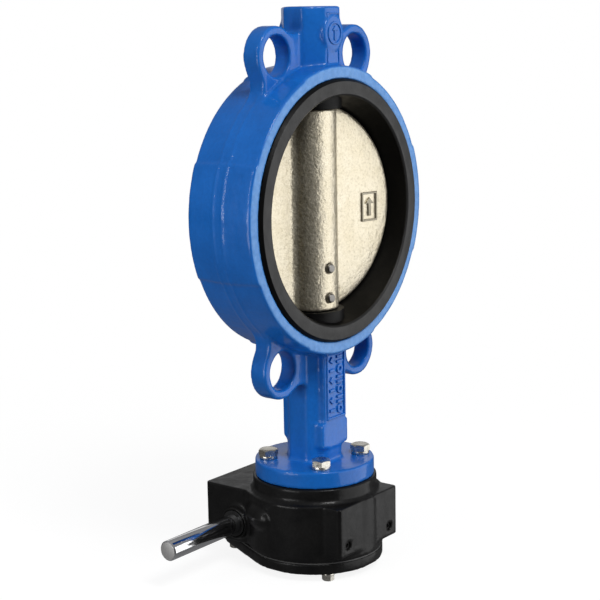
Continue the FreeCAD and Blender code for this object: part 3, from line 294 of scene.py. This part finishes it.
def hex_screw(co, head_up, count=72):
    """One screw with a chamfered head and a broken tip, fitted to the points of its CAD solid."""
    crown_start, foot_start, slope = 0.90, 1.02, 0.5
    tip_rise, tip_inset = 0.8 * MM, 0.7 * MM
    middle = (co.min(0) + co.max(0)) / 2
    flat = co - middle
    far = np.hypot(flat[:, 0], flat[:, 1])
    reach = far.max()
    corner = flat[np.argmax(far)]
    head = flat[far > 0.9 * reach][:, 2]
    top, seat = (head.max(), head.min()) if head_up else (head.min(), head.max())
    tip = flat[:, 2].min() if head_up else flat[:, 2].max()
    shank = far[np.abs(flat[:, 2] - tip) < 0.01 * MM].max()
    upward = 1.0 if head_up else -1.0
    apothem = reach * math.cos(math.pi / 6)

    def hex_radius(step):
        angle = (2 * math.pi * step / count) % (math.pi / 3) - math.pi / 6
        return apothem / math.cos(angle)

    def crown(step):
        radius = hex_radius(step)
        return radius, top - upward * (radius - crown_start * apothem) * slope

    def foot(step):
        radius = hex_radius(step)
        return radius, seat + upward * max(0.0, radius - foot_start * apothem) * slope

    rows = [
        (0.30 * apothem, top),
        (0.62 * apothem, top),
        (crown_start * apothem, top),
        crown,
        foot,
        (0.97 * apothem, seat + upward * 0.02 * abs(top - seat)),
        (0.93 * apothem, seat),
        (shank, seat),
        (shank, tip + upward * tip_rise),
        (shank - tip_inset, tip),
    ]
    part = bmesh.new()
    rings = lathe(part, rows, count, math.atan2(corner[1], corner[0]))
    part.faces.new(rings[0])
    part.faces.new(list(reversed(rings[-1])))
    bmesh.ops.recalc_face_normals(part, faces=part.faces)
    bmesh.ops.translate(part, verts=part.verts, vec=Vector(middle))
    return part


def hex_screws(node, name, head_up):
    """All the screws of a CAD node, at their CAD places."""
    bm = bmesh.new()
    for co in islands(node):
        add_part(bm, hex_screw(co, head_up))
    return shade(link(name, to_mesh(bm, name)), 30.0)


# ------------------------------------------------------------------ relief of cast marks
def relief(name, shapes, place, depth, edge):
    """Raised cast marks: flat shapes (x right, y up) pushed out along z, with soft edges.

    A shape is one outline, or an outer and an inner outline with as many corners each.
    """
    bm = bmesh.new()
    for shape in shapes:
        part = bmesh.new()
        if isinstance(shape[0], list):
            outer, inner = ([part.verts.new((x, y, 0.0)) for x, y in side] for side in shape)
            faces = []
            for k in range(len(outer)):
                after = (k + 1) % len(outer)
                faces.append(part.faces.new((outer[k], outer[after], inner[after], inner[k])))
        else:
            faces = [part.faces.new([part.verts.new((x, y, 0.0)) for x, y in shape])]
        made = bmesh.ops.extrude_face_region(part, geom=faces)
        raised = [v for v in made["geom"] if isinstance(v, bmesh.types.BMVert)]
        bmesh.ops.translate(part, verts=raised, vec=(0, 0, depth))
        bmesh.ops.recalc_face_normals(part, faces=part.faces)
        top = [e for e in part.edges
               if all(v.co.z > depth * 0.5 for v in e.verts) and e.calc_face_angle(0.0) > 0.5]
        bmesh.ops.bevel(part, geom=top, offset=edge, segments=3, profile=0.5, affect="EDGES")
        add_part(bm, part)
    bmesh.ops.transform(bm, matrix=place, verts=bm.verts)
    return shade(link(name, to_mesh(bm, name)), 50.0)


def bar(x, y, wide, high):
    return [(x - wide / 2, y - high / 2), (x + wide / 2, y - high / 2),
            (x + wide / 2, y + high / 2), (x - wide / 2, y + high / 2)]


def diamond(x, y, wide, high):
    return [(x - wide / 2, y), (x, y - high / 2), (x + wide / 2, y), (x, y + high / 2)]


def box_ring(x, y, wide, high, line):
    return [bar(x, y, wide, high), bar(x, y, wide - 2 * line, high - 2 * line)]


def round_ring(x, y, outer, inner, count=36):
    turns = [2 * math.pi * k / count for k in range(count)]
    return [[(x + far * math.cos(a), y + far * math.sin(a)) for a in turns] for far in (outer, inner)]


def arrow(x, y, long, wide):
    """Arrow that points up, its middle at x, y."""
    shaft = wide * 0.17
    barb = y + long / 2 - wide * 0.55
    return [(x - shaft, y - long / 2), (x + shaft, y - long / 2), (x + shaft, barb),
            (x + wide / 2, barb), (x, y + long / 2), (x - wide / 2, barb), (x - shaft, barb)]


# ------------------------------------------------------------------ material helpers
def grey(level):
    return (level, level, level)


def set_stops(node, stops):
    """Gives a colour ramp its stops, each a place and a colour."""
    band = node.color_ramp
    while len(band.elements) < len(stops):
        band.elements.new(0.5)
    for element, (place, colour) in zip(band.elements, stops):
        element.position = place
        element.color = (*colour, 1.0)


class Look:
    """A Principled material whose colour, roughness and bump come from noise in the piece's space."""

    def __init__(self, name, metallic=0.0, coat=0.0, coat_roughness=0.05, specular=0.5):
        self.material = bpy.data.materials.new(name)
        self.material.use_nodes = True
        self.tree = self.material.node_tree
        self.nodes = self.tree.nodes
        self.shader = self.nodes["Principled BSDF"]
        self.shader.inputs["Metallic"].default_value = metallic
        self.shader.inputs["Coat Weight"].default_value = coat
        self.shader.inputs["Coat Roughness"].default_value = coat_roughness
        self.shader.inputs["Specular IOR Level"].default_value = specular
        self.place = self.nodes.new("ShaderNodeTexCoord").outputs["Object"]
        self.normal = None

    def feed(self, source, socket):
        """Links a source to one of the shader's own sockets."""
        self.tree.links.new(source, self.shader.inputs[socket])

    def noise(self, scale, detail=3.0, roughness=0.55, stretch=None):
        source = self.place
        if stretch:
            mapping = self.nodes.new("ShaderNodeMapping")
            mapping.inputs["Scale"].default_value = stretch
            self.tree.links.new(source, mapping.inputs["Vector"])
            source = mapping.outputs["Vector"]
        node = self.nodes.new("ShaderNodeTexNoise")
        node.inputs["Scale"].default_value = scale
        node.inputs["Detail"].default_value = detail
        node.inputs["Roughness"].default_value = roughness
        self.tree.links.new(source, node.inputs["Vector"])
        return node.outputs["Fac"]

    def ramp(self, source, stops):
        node = self.nodes.new("ShaderNodeValToRGB")
        set_stops(node, stops)
        self.tree.links.new(source, node.inputs["Fac"])
        return node.outputs["Color"]

    def mix(self, factor, one, two, kind="MIX"):
        """Colour blend; the factor is a number or a source."""
        node = self.nodes.new("ShaderNodeMix")
        node.data_type = "RGBA"
        node.blend_type = kind
        share, first, second = node.inputs[0], node.inputs[6], node.inputs[7]
        if isinstance(factor, float):
            share.default_value = factor
        else:
            self.tree.links.new(factor, share)
        self.tree.links.new(one, first)
        self.tree.links.new(two, second)
        return node.outputs[2]

    def combine(self, kind, *sources):
        node = self.nodes.new("ShaderNodeMath")
        node.operation = kind
        for source, socket in zip(sources, node.inputs):
            self.tree.links.new(source, socket)
        return node.outputs[0]

    def map_range(self, source, span=(0.0, 1.0), result=(0.0, 1.0)):
        node = self.nodes.new("ShaderNodeMapRange")
        node.inputs["From Min"].default_value, node.inputs["From Max"].default_value = span
        node.inputs["To Min"].default_value, node.inputs["To Max"].default_value = result
        self.tree.links.new(source, node.inputs["Value"])
        return node.outputs["Result"]

    def along(self, letter):
        node = self.nodes.new("ShaderNodeSeparateXYZ")
        self.tree.links.new(self.place, node.inputs["Vector"])
        return node.outputs[letter]

    def by_depth(self, start, end):
        """Zero at start and one at end, both distances from the valve's middle plane."""
        return self.map_range(self.combine("ABSOLUTE", self.along("Y")), (start, end))

    def by_radius(self, start, end):
        """Zero at start and one at end, both distances from the bore's axis."""
        flat = self.nodes.new("ShaderNodeVectorMath")
        flat.operation = "MULTIPLY"
        flat.inputs[1].default_value = (1.0, 0.0, 1.0)
        self.tree.links.new(self.place, flat.inputs[0])
        radius = self.nodes.new("ShaderNodeVectorMath")
        radius.operation = "LENGTH"
        self.tree.links.new(flat.outputs["Vector"], radius.inputs[0])
        return self.map_range(radius.outputs["Value"], (start, end))

    def rough(self, source, low, high):
        self.feed(self.map_range(source, (0.3, 0.7), (low, high)), "Roughness")

    def bump(self, source, distance, strength, coat=False):
        """Adds one layer of bump on top of those before it."""
        node = self.nodes.new("ShaderNodeBump")
        node.inputs["Distance"].default_value = distance
        node.inputs["Strength"].default_value = strength
        self.tree.links.new(source, node.inputs["Height"])
        if self.normal is not None:
            self.tree.links.new(self.normal, node.inputs["Normal"])
        self.normal = node.outputs["Normal"]
        self.feed(self.normal, "Normal")
        if coat:
            self.feed(self.normal, "Coat Normal")


# ------------------------------------------------------------------ materials
def blue_paint():
    """Gloss epoxy, paler on the ring's turned faces."""
    look = Look("blue_paint", coat=0.45, coat_roughness=0.06, specular=0.20)
    broad = look.noise(38, 2.0)
    deep = look.ramp(broad, [(0.30, (0.0060, 0.138, 0.540)), (0.70, (0.0080, 0.164, 0.630))])
    pale = look.ramp(look.noise(240, 4.0),
                     [(0.30, (0.070, 0.270, 0.690)), (0.70, (0.130, 0.360, 0.790))])
    on_face = look.by_depth(ring_face - 0.6 * MM, ring_face - 0.2 * MM)
    on_ring = look.by_radius(ring_radius + 0.24 * MM, ring_radius + 0.04 * MM)
    base = look.mix(look.combine("MULTIPLY", on_face, on_ring), deep, pale)
    fleck = look.ramp(look.noise(420), [(0.30, grey(0.88)), (0.70, grey(1.08))])
    look.feed(look.mix(0.55, base, fleck, "MULTIPLY"), "Base Color")
    look.rough(broad, 0.30, 0.42)
    look.bump(look.noise(60, 2.0), 0.7 * MM, 0.45)
    look.bump(look.noise(300), 0.16 * MM, 0.7, coat=True)
    return look.material


def black_paint():
    look = Look("black_paint", coat=0.20, coat_roughness=0.10, specular=0.14)
    base = look.ramp(look.noise(45),
                     [(0.30, (0.0035, 0.0035, 0.0037)), (0.72, (0.0075, 0.0073, 0.0070))])
    fleck = look.ramp(look.noise(500), [(0.35, grey(0.75)), (0.75, grey(1.5))])
    look.feed(look.mix(0.6, base, fleck, "MULTIPLY"), "Base Color")
    look.rough(look.noise(120), 0.34, 0.52)
    look.bump(look.noise(60, 2.0), 0.2 * MM, 0.4)
    look.bump(look.noise(420), 0.18 * MM, 0.7, coat=True)
    return look.material


def nickel(name="nickel_casting", tone=1.0):
    """Nickel plate on a sand casting; a tone below one darkens it. The darker copy on the disc's marks
    is painted shade for the shadows round their relief.
    """
    look = Look(name, metallic=0.88)
    sand = look.noise(520, 4.0, 0.6)
    stops = [(0.28, (0.52, 0.465, 0.350)), (0.46, (0.70, 0.640, 0.505)), (0.75, (0.83, 0.765, 0.625))]
    base = look.ramp(sand, [(place, tuple(part * tone for part in colour)) for place, colour in stops])
    tint = look.ramp(look.noise(55), [(0.30, (0.90, 0.88, 0.82)), (0.70, grey(1.0))])
    look.feed(look.mix(0.8, base, tint, "MULTIPLY"), "Base Color")
    look.rough(sand, 0.29, 0.42)
    look.bump(look.noise(200), 0.9 * MM, 0.6)
    look.bump(sand, 0.4 * MM, 0.9)
    return look.material


def rubber_skin(look):
    look.rough(look.noise(150), 0.38, 0.50)
    look.bump(look.noise(700, 2.0), 0.12 * MM, 0.6)


def rubber(name, level):
    """Dusty rubber or sheet of one grey level."""
    look = Look(name, specular=0.48)
    base = look.ramp(look.noise(60), [(0.30, grey(level * 0.85)), (0.70, grey(level * 1.25))])
    dust = look.ramp(look.noise(900, 2.0), [(0.40, grey(0.85)), (0.75, grey(1.35))])
    look.feed(look.mix(0.5, base, dust, "MULTIPLY"), "Base Color")
    rubber_skin(look)
    return look.material


def liner_rubber():
    """Black rubber, darker and less glossy inside the bore and on the lip's flank: painted shade for
    the shadowed bore and the dark gap beside the lip.
    """
    lip_face_shine, painted_shade_shine = 0.48, 0.14
    look = Look("rubber_liner", specular=lip_face_shine)
    # The flank and inside masks mark where the painted shade goes: near-black colour and a low shine.
    flank = look.by_radius(lip_radius - 2.0 * MM, lip_radius - 1.7 * MM)
    inside = look.by_depth(lip_face - 0.9 * MM, lip_face - 1.9 * MM)
    painted_shade_mask = look.combine("MAXIMUM", flank, inside)
    lip_rubber = look.ramp(look.noise(60), [(0.30, grey(0.0036)), (0.70, grey(0.0053))])
    deep = look.ramp(look.noise(80), [(0.30, grey(0.0006)), (0.70, grey(0.0012))])
    look.feed(look.mix(painted_shade_mask, lip_rubber, deep), "Base Color")
    look.feed(look.map_range(painted_shade_mask, result=(lip_face_shine, painted_shade_shine)), "Specular IOR Level")
    rubber_skin(look)
    return look.material


def bare_metal(name, light, dark, low, high, stretch=None):
    """Bare metal between two colours, its roughness from low to high."""
    look = Look(name, metallic=1.0)
    fine = look.noise(720, stretch=stretch)
    base = look.ramp(look.noise(84), [(0.30, dark), (0.70, light)])
    wear = look.ramp(fine, [(0.35, grey(0.86)), (0.70, grey(1.05))])
    look.feed(look.mix(0.6, base, wear, "MULTIPLY"), "Base Color")
    look.rough(fine, low, high)
    look.bump(fine, 0.12 * MM, 0.6)
    return look.material


def chrome():
    """Polished bar with a satin sawn end."""
    polished, satin = 0.11, 0.42
    look = Look("chrome_bar", metallic=1.0)
    streak = look.noise(900, stretch=(0.12, 1.0, 1.0))
    side = look.ramp(streak, [(0.30, (0.74, 0.745, 0.76)), (0.70, (0.84, 0.845, 0.86))])
    end = look.ramp(look.noise(1500), [(0.30, (0.80, 0.79, 0.78)), (0.70, (0.95, 0.94, 0.93))])
    at_end = look.map_range(look.along("X"), (shaft_low.x + 0.2 * MM, shaft_low.x + 0.1 * MM))
    look.feed(look.mix(at_end, side, end), "Base Color")
    look.feed(look.map_range(at_end, result=(polished, satin)), "Roughness")
    look.bump(streak, 0.03 * MM, 0.4)
    return look.material


LOOKS = {
    "body_paint": blue_paint(),
    "case_paint": black_paint(),
    "disc_nickel": nickel(),
    "liner_rubber": liner_rubber(),
    "seal_rubber": rubber("rubber_seal", 0.0045),
    "gasket_sheet": rubber("gasket_grey", 0.060),
    "stem_steel": bare_metal("ground_steel", grey(0.62), grey(0.50), 0.24, 0.36,
                             stretch=(1.0, 1.0, 0.15)),
    "pin_steel": bare_metal("plain_steel", (0.34, 0.33, 0.31), (0.20, 0.19, 0.18), 0.32, 0.50),
    "bush_bronze": bare_metal("bronze", (0.62, 0.40, 0.19), (0.46, 0.29, 0.13), 0.26, 0.40),
    "zinc_plate": bare_metal("zinc", (0.84, 0.81, 0.73), (0.54, 0.515, 0.45), 0.20, 0.38),
    "black_screw": bare_metal("black_steel", grey(0.045), grey(0.025), 0.35, 0.5),
    "wheel_iron": bare_metal("machined_iron", (0.34, 0.34, 0.33), (0.22, 0.22, 0.215), 0.36, 0.52),
    "worm_steel": bare_metal("hobbed_steel", (0.48, 0.48, 0.47), (0.34, 0.34, 0.33), 0.24, 0.38),
    "shaft_chrome": chrome(),
    "indicator_plate": bare_metal("satin_plate", (0.74, 0.74, 0.72), (0.60, 0.60, 0.58), 0.30, 0.42,
                                  stretch=(0.1, 1.0, 1.0)),
}


def paint(item, material):
    item.data.materials.clear()
    item.data.materials.append(material)


def finish_piece(item, body, slot, *replaced, material=None):
    """Puts a piece in: painted with the given material or its slot's look, riding on its body, in
    place of the replaced nodes.
    """
    paint(item, material or LOOKS[slot])
    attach(item, body)
    if replaced:
        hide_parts(*replaced)


def stand_in(item, node):
    """Puts a piece in place of one CAD node, on that node's body and painted with that node's slot's
    look.
    """
    finish_piece(item, body_of[node], slot_of[node], node)


for node_name, node_object in nodes.items():
    paint(node_object, LOOKS[slot_of[node_name]])


# ------------------------------------------------------------------ valve body, liner and disc
def body_weight(co):
    """Edges of the sealing faces stay crisp; the rest of the casting is rounder."""
    bore_edge, soft = 97.5 * MM, 1.0 * MM
    radius = np.hypot(co[:, 0], co[:, 2])
    near_face = fade(np.abs(co[:, 1]), ring_face - 2.5 * MM, ring_face - 1.0 * MM)
    inside = fade(radius, bore_edge, bore_edge - soft)
    return np.clip(1.0 - 0.5 * near_face - 0.8 * inside, 0.1, 1.0)


def seam(item, places, height, wide):
    """Low ridges that the mould joint leaves round the outside of the ring."""
    nearest, furthest, soft = 100.5 * MM, 107.5 * MM, 1.0 * MM
    co = points_of(item.data)
    radius = np.hypot(co[:, 0], co[:, 2])
    outside = fade(radius, nearest, nearest + soft) * fade(radius, furthest, furthest - soft)
    lift = sum(np.exp(-((co[:, 1] - place) / wide) ** 2) for place in places)
    grow = 1 + outside * lift * height / np.maximum(radius, 1e-6)
    co[:, 0] *= grow
    co[:, 2] *= grow
    put_points(item.data, np.clip(co, np.array(body_low), np.array(body_high)))


body = cast("valve_body", "body_casting", 1.1 * MM, 5, 0.10 * MM, seed=3, weight=body_weight)
seam(body, places=(-3.5 * MM, 4.5 * MM), height=0.45 * MM, wide=1.1 * MM)
stand_in(body, "valve_body")
stand_in(machined("seat_liner", "rubber_liner", 0.5 * MM, segments=3), "seat_liner")
stand_in(cast("disc", "disc_casting", 0.9 * MM, 5, 0.10 * MM, seed=5), "disc")


# ------------------------------------------------------------------ gearbox castings
def case_weight(co):
    """The shaft's boss runs softly into the case; the case's other edges are crisper."""
    boss_radius, boss_start, soft = 24 * MM, -30 * MM, 4 * MM
    far = np.hypot(co[:, 1] - shaft_y, co[:, 2] - shaft_z)
    boss = fade(far, boss_radius, boss_radius - soft) * fade(co[:, 0], boss_start, boss_start - soft)
    return 0.25 + 0.75 * boss


case = cast("gearbox_housing", "gearbox_casting", 1.0 * MM, 12, 0.04 * MM, seed=8, weight=case_weight,
            clear_of="wheel_sector", setback=0.95 * MM)
stand_in(case, "gearbox_housing")
cover = cast("gearbox_cover", "cover_casting", 1.0 * MM, 3, 0.05 * MM, seed=9,
             clear_of="wheel_sector", setback=0.5 * MM)
stand_in(cover, "gearbox_cover")

# ------------------------------------------------------------------ fasteners and machined pieces
stand_in(hex_screws("flange_bolts", "flange_hex_bolts", head_up=True), "flange_bolts")
stand_in(hex_screws("cover_screws", "cover_hex_screws", head_up=False), "cover_screws")

BROKEN_EDGES = {
    "flange_spring_washers": 0.25 * MM,
    "cover_washers": 0.2 * MM,
    "disc_pins": 0.4 * MM,
    "stop_screws": 0.2 * MM,
    "worm_shaft": 0.25 * MM,
    "position_indicator": 0.3 * MM,
    "worm_end_plug": 0.3 * MM,
}
for node_name, wide in BROKEN_EDGES.items():
    stand_in(machined(node_name, f"{node_name}_edged", wide), node_name)


# ------------------------------------------------------------------ cast marks, all generic
def on_front(x, face, z):
    """Place for marks drawn with x to +X and y to +Z that face -Y, their foot sunk in the casting.

    The casting's face lies the distance face in front of the middle plane.
    """
    sunk = 0.3 * MM
    facing = Matrix(((1, 0, 0, 0), (0, 0, -1, 0), (0, 1, 0, 0), (0, 0, 0, 1)))
    return Matrix.Translation((x, sunk - face, z)) @ facing


def neck_shapes():
    """A frame round two columns of signs that take turns down the neck."""
    pitch, top_row = 7.6 * MM, 21 * MM
    right, left = 4.6 * MM, -5.0 * MM
    pair_offset = 1.9 * MM
    shapes = [box_ring(0, -1.5 * MM, 22.5 * MM, 59 * MM, 1.5 * MM)]
    for row in range(7):
        level = top_row - pitch * row
        if row % 2:
            shapes += [bar(right, level + offset, 7.4 * MM, 2.1 * MM)
                       for offset in (pair_offset, -pair_offset)]
            shapes.append(diamond(left, level, 6.0 * MM, 5.4 * MM))
        else:
            shapes.append(round_ring(right, level, 3.6 * MM, 1.5 * MM))
            shapes.append(bar(left, level, 6.0 * MM, 2.3 * MM))
    return shapes


neck_marks = relief("neck_marks", neck_shapes(), on_front(0, neck_face, NECK_MARKS_LEVEL),
                    depth=1.5 * MM, edge=0.45 * MM)
finish_piece(neck_marks, "valve", "body_paint")

boss_sign = [round_ring(0, 0, 8.2 * MM, 6.6 * MM), arrow(0, 0, 10.5 * MM, 6.5 * MM)]
boss_marks = relief("boss_marks", boss_sign, on_front(0, pad_face, BOSS_MARKS_LEVEL),
                    depth=1.1 * MM, edge=0.4 * MM)
finish_piece(boss_marks, "valve", "body_paint")

boss_frame = relief("boss_frame", [box_ring(0, 0, 14.5 * MM, 38 * MM, 1.2 * MM)],
                    on_front(0, boss_face, BOSS_FRAME_LEVEL), depth=1.0 * MM, edge=0.35 * MM)
finish_piece(boss_frame, "valve", "body_paint")

disc_sign = [box_ring(0, 0, 16 * MM, 22 * MM, 1.5 * MM), arrow(0, 0, 14 * MM, 8.5 * MM)]
disc_wing = Matrix.Rotation(disc_turn, 4, "Z") @ on_front(56 * MM, 3.8 * MM, -3 * MM)
disc_marks = relief("disc_marks", disc_sign, disc_wing, depth=1.5 * MM, edge=0.35 * MM)
# The disc's marks get nickel darkened to 0.45: painted shade for the shadows in and round the relief.
finish_piece(disc_marks, "stem_train", "disc_nickel", material=nickel("nickel_marks_painted_shade", 0.45))


# ------------------------------------------------------------------ studio
def floor_white():
    """Pale ground that takes a soft shadow near the valve and runs out to plain white."""
    material = bpy.data.materials.new("floor_white")
    material.use_nodes = True
    tree = material.node_tree
    tree.nodes.clear()
    grain = tree.nodes.new("ShaderNodeTexNoise")
    grain.inputs["Scale"].default_value = 40
    tone = tree.nodes.new("ShaderNodeValToRGB")
    set_stops(tone, [(0.0, grey(0.20)), (1.0, grey(0.23))])
    tree.links.new(grain.outputs["Fac"], tone.inputs["Fac"])
    matt = tree.nodes.new("ShaderNodeBsdfDiffuse")
    tree.links.new(tone.outputs["Color"], matt.inputs["Color"])
    glow = tree.nodes.new("ShaderNodeEmission")
    glow.inputs["Color"].default_value = (1, 1, 1, 1)
    glow.inputs["Strength"].default_value = 0.87
    near = tree.nodes.new("ShaderNodeAddShader")
    tree.links.new(matt.outputs["BSDF"], near.inputs[0])
    tree.links.new(glow.outputs["Emission"], near.inputs[1])
    far = tree.nodes.new("ShaderNodeEmission")
    far.inputs["Color"].default_value = (1, 1, 1, 1)
    spread = tree.nodes.new("ShaderNodeVectorMath")
    spread.operation = "LENGTH"
    tree.links.new(tree.nodes.new("ShaderNodeTexCoord").outputs["Object"], spread.inputs[0])
    reach = tree.nodes.new("ShaderNodeMapRange")
    reach.interpolation_type = "SMOOTHSTEP"
    reach.inputs["From Min"].default_value = 0.22
    reach.inputs["From Max"].default_value = 0.75
    tree.links.new(spread.outputs["Value"], reach.inputs["Value"])
    pale = tree.nodes.new("ShaderNodeMixShader")
    tree.links.new(reach.outputs["Result"], pale.inputs["Fac"])
    tree.links.new(near.outputs["Shader"], pale.inputs[1])
    tree.links.new(far.outputs["Emission"], pale.inputs[2])
    end = tree.nodes.new("ShaderNodeOutputMaterial")
    tree.links.new(pale.outputs["Shader"], end.inputs["Surface"])
    return material


def make_floor(wide):
    """Level square under the whole part that neither lights nor shades it."""
    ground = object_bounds()[0][2]
    bm = bmesh.new()
    bm.faces.new([bm.verts.new((x, y, ground)) for x, y in bar(0, 0, wide, wide)])
    item = link("floor", to_mesh(bm, "floor"))
    paint(item, floor_white())
    item.visible_diffuse = False
    item.visible_glossy = False
    item.visible_shadow = False
    return item


floor = make_floor(12.0)


def softbox(name, place, aim, size, power):
    """Rectangular light, turned from its place to the point it aims at."""
    data = bpy.data.lights.new(name, "AREA")
    data.shape = "RECTANGLE"
    data.size, data.size_y = size
    data.energy = power
    item = link(name, data)
    item.location = place
    item.rotation_euler = (Vector(aim) - Vector(place)).to_track_quat("-Z", "Y").to_euler()
    item.visible_camera = False


softbox("right_box", (0.90, -1.62, -0.08), (0, 0, -0.05), (2.6, 1.9), 25)
softbox("key", (-0.45, -1.20, 1.50), (0, 0, -0.05), (0.6, 0.6), 17)
softbox("left_box", (-0.82, 0.12, -0.10), (0, 0, -0.05), (0.4, 0.4), 1.65)
softbox("left_strip", (-1.42, 0.50, 0.45), (0, 0, 0), (0.10, 1.2), 3.0)
softbox("back_card", (1.40, 1.08, 0.34), (0, 0, -0.1), (1.6, 0.7), 1.8)


def make_world():
    """Plain white behind the valve; its light is a dim room, darkest just below the horizon."""
    world = bpy.data.worlds.new("studio")
    bpy.context.scene.world = world
    world.use_nodes = True
    tree = world.node_tree
    tree.nodes.clear()
    rise = tree.nodes.new("ShaderNodeSeparateXYZ")
    where = tree.nodes.new("ShaderNodeTexCoord")
    tree.links.new(where.outputs["Generated"], rise.inputs["Vector"])
    level = tree.nodes.new("ShaderNodeMapRange")
    level.inputs["From Min"].default_value = -1.0
    tree.links.new(rise.outputs["Z"], level.inputs["Value"])
    sky = tree.nodes.new("ShaderNodeValToRGB")
    bands = [(0.05, 0.62), (0.30, 0.40), (0.45, 0.16), (0.95, 0.95)]
    set_stops(sky, [(place, (light, light, light * 1.02)) for place, light in bands])
    tree.links.new(level.outputs["Result"], sky.inputs["Fac"])
    lit = tree.nodes.new("ShaderNodeBackground")
    lit.inputs["Strength"].default_value = 0.32
    tree.links.new(sky.outputs["Color"], lit.inputs["Color"])
    seen = tree.nodes.new("ShaderNodeBackground")
    seen.inputs["Color"].default_value = (1, 1, 1, 1)
    path = tree.nodes.new("ShaderNodeLightPath")
    blend = tree.nodes.new("ShaderNodeMixShader")
    tree.links.new(path.outputs["Is Camera Ray"], blend.inputs["Fac"])
    tree.links.new(lit.outputs["Background"], blend.inputs[1])
    tree.links.new(seen.outputs["Background"], blend.inputs[2])
    end = tree.nodes.new("ShaderNodeOutputWorld")
    tree.links.new(blend.outputs["Shader"], end.inputs["Surface"])


def make_camera():
    """Camera in front, to the left and a little above, tipped slightly about its own axis."""
    heading, drop, roll = math.radians(37.61), math.radians(10.62), -0.017
    place = (-0.861816, -0.652583, 0.134876)
    data = bpy.data.cameras.new("camera")
    data.sensor_width = 36.0
    data.lens = 88.86
    data.clip_start = 0.05
    camera = link("camera", data)
    level = math.cos(drop)
    ahead = Vector((level * math.cos(heading), level * math.sin(heading), -math.sin(drop)))
    right = ahead.cross(Vector((0, 0, 1))).normalized()
    up = right.cross(ahead)
    side = right * math.cos(roll) + up * math.sin(roll)
    top = up * math.cos(roll) - right * math.sin(roll)
    turn = Matrix((side, top, -ahead)).transposed().to_4x4()
    camera.matrix_world = Matrix.Translation(place) @ turn
    bpy.context.scene.camera = camera


make_world()
make_camera()
bpy.context.scene.view_settings.view_transform = "Standard"
bpy.context.scene.view_settings.look = "None"
